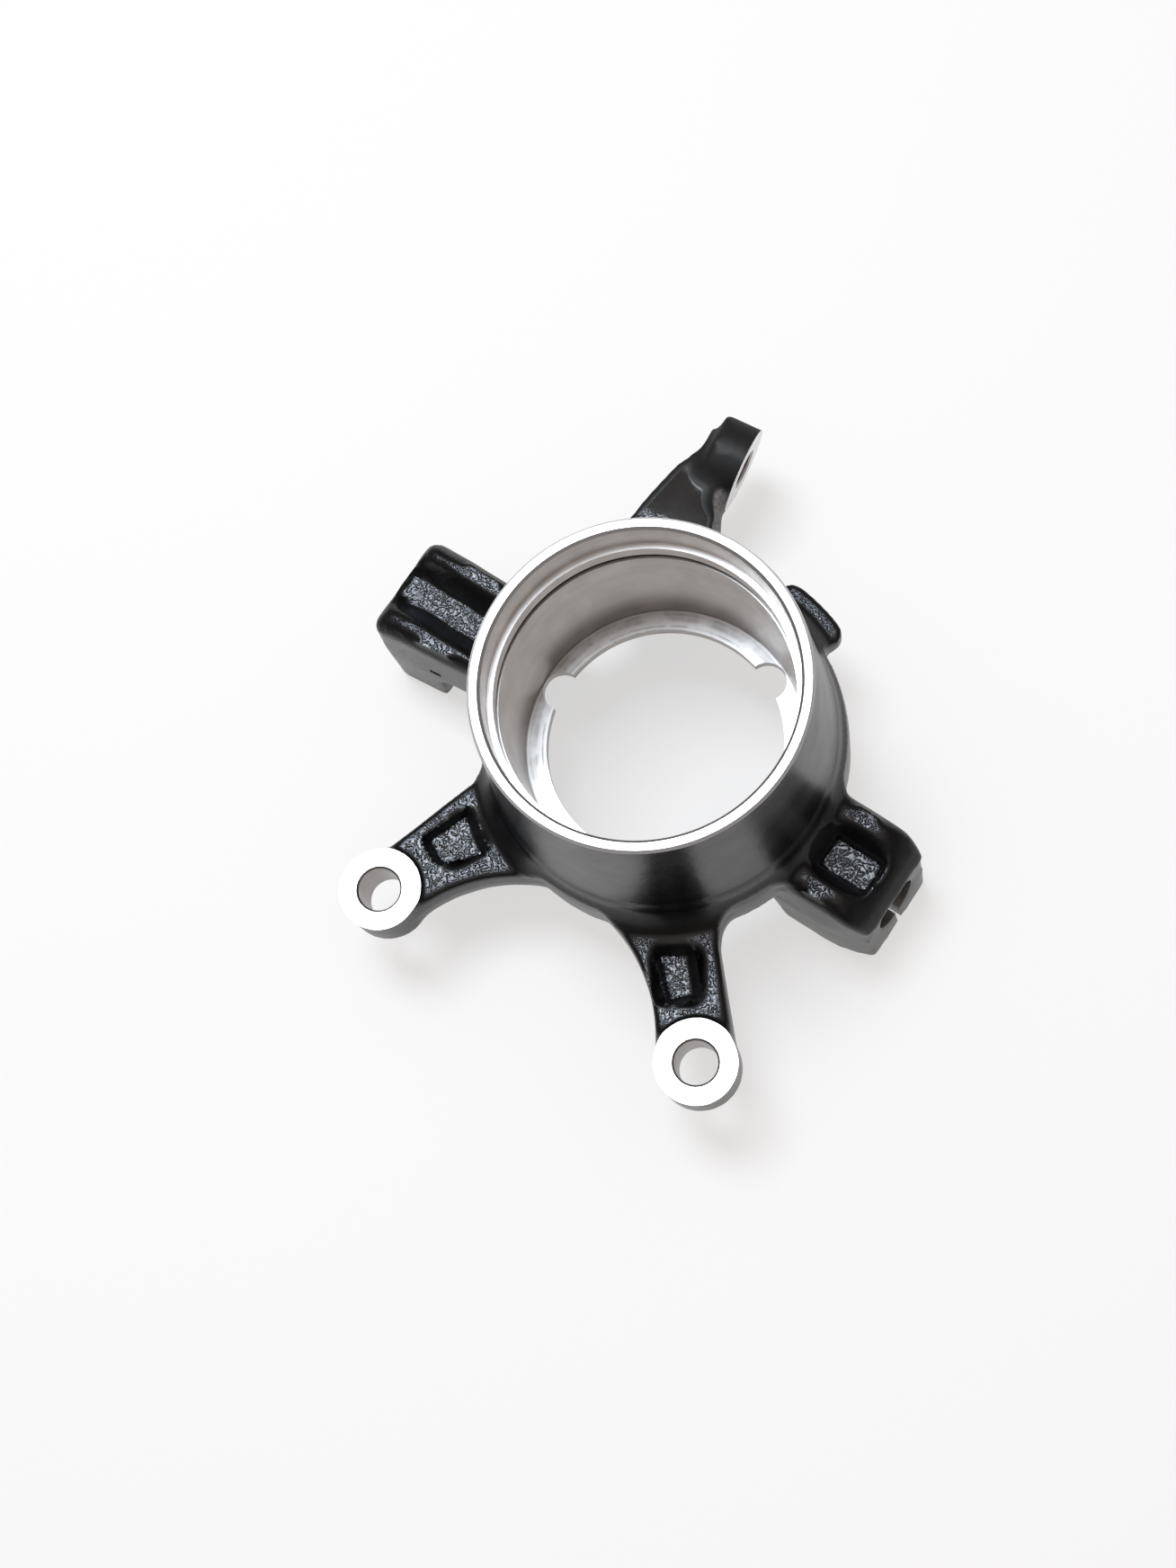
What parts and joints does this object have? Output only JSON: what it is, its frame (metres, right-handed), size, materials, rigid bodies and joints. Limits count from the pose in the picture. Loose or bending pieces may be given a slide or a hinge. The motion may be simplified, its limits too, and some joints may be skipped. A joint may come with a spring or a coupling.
{
  "type": "steering knuckle",
  "caption": "Cast steering knuckle with an open bearing housing, caliper arms, a curved steering arm with a tie rod eye, and slotted, channelled bosses for the ball joints.",
  "frame": {"origin": "on the bearing bore's axis, at the shoulder that the bearing stops against", "axes": "+Z along the bearing bore, out of the open mouth of the housing; +X along the line through the two caliper bolts, towards the slotted clamp; +Y towards the steering arm"},
  "size_m": [0.1577, 0.1681, 0.0905],
  "materials": {
    "cast_body": "satin black paint over a rough casting, with bare machined bore, mouth ring and bolt faces"
  },
  "bodies": {
    "root": {"knuckle": "cast_body"}
  },
  "joints": []
}
